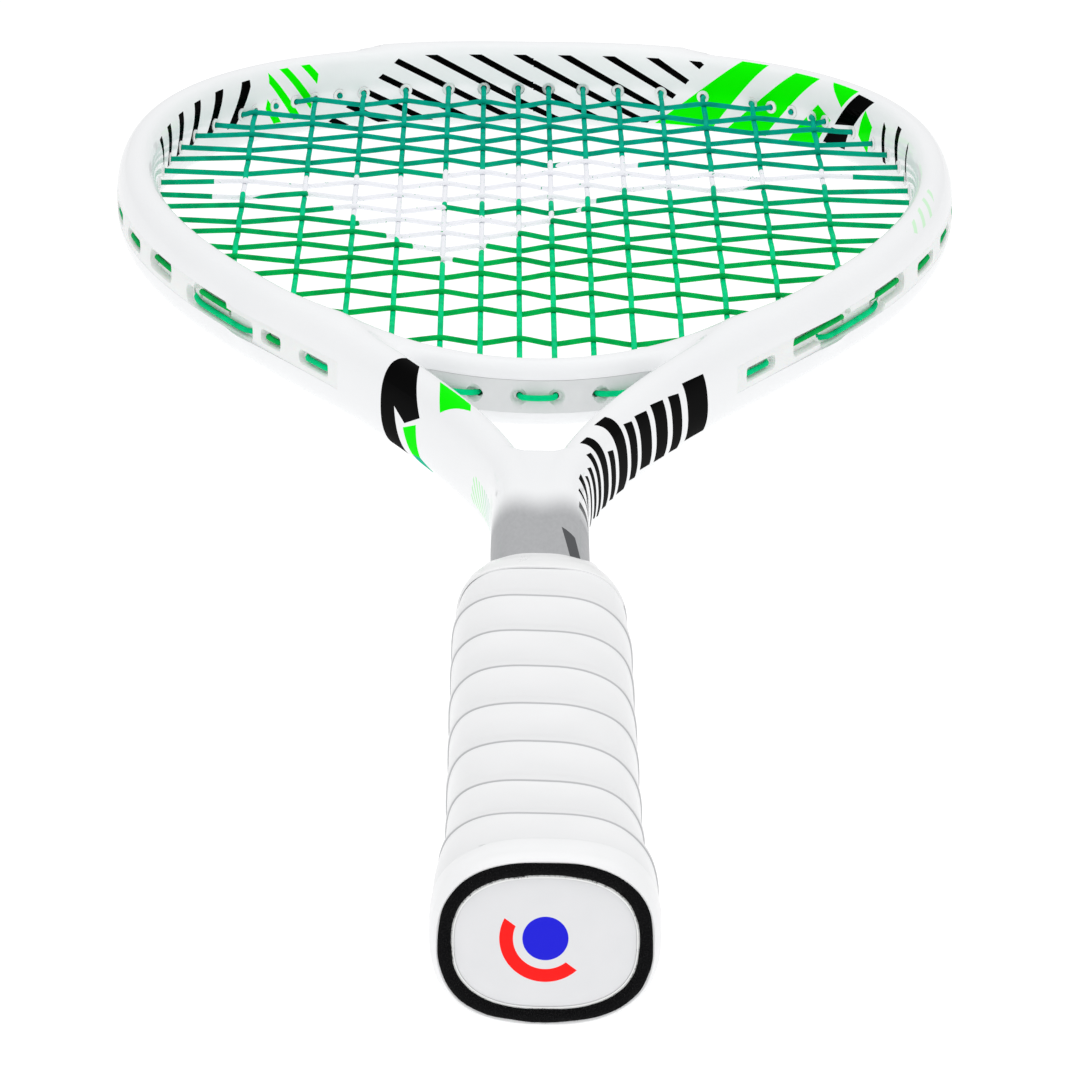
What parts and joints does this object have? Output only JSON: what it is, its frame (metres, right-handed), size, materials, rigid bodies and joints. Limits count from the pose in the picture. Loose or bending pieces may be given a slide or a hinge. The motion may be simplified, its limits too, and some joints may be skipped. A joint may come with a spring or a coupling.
{
  "type": "squash racket",
  "caption": "Squash racket: hollow teardrop hoop and open throat with a woven string bed, slim shaft, and a taped handle flared at the butt.",
  "frame": {"origin": "middle of the flat face of the butt badge", "axes": "+Y from the butt to the head, +X across the racket, +Z out of the string bed"},
  "size_m": [0.2128, 0.686, 0.034],
  "materials": {
    "frame_lacquer": "glossy white lacquer over the carbon moulding, with black, green and teal blocks",
    "grommet_plastic": "satin white nylon, slightly translucent",
    "main_string": "smooth coated multifilament, green to teal, white where the stencil is",
    "cross_string": "smooth coated multifilament, green to teal",
    "pallet_foam": "hard polyurethane foam with a moulded skin",
    "cap_plastic": "moulded plastic, satin",
    "badge": "clear domed gloss over a white print",
    "grip_skin": "white polyurethane tape, semi-gloss, with spiral seams",
    "grip_felt": "black non-woven felt",
    "collar_tape": "thin white elastic finishing tape",
    "staple_steel": "plated steel wire",
    "plug_foam": "light polyethylene foam"
  },
  "bodies": {
    "root": {"frame": "frame_lacquer", "throat_bridge": "frame_lacquer", "side_grommet_strip_left": "grommet_plastic", "side_grommet_strip_right": "grommet_plastic", "head_bumper": "grommet_plastic", "throat_grommet_strip": "grommet_plastic", "main_string": "main_string", "cross_string": "cross_string", "grip_tape": "grip_skin", "grip_backing": "grip_felt", "finishing_tape": "collar_tape", "butt_badge": "badge", "cap_staple_top": "staple_steel", "cap_staple_bottom": "staple_steel", "butt_cap": "cap_plastic", "handle_pallet": "pallet_foam", "shaft_plug_left": "plug_foam", "shaft_plug_right": "plug_foam"}
  },
  "joints": []
}
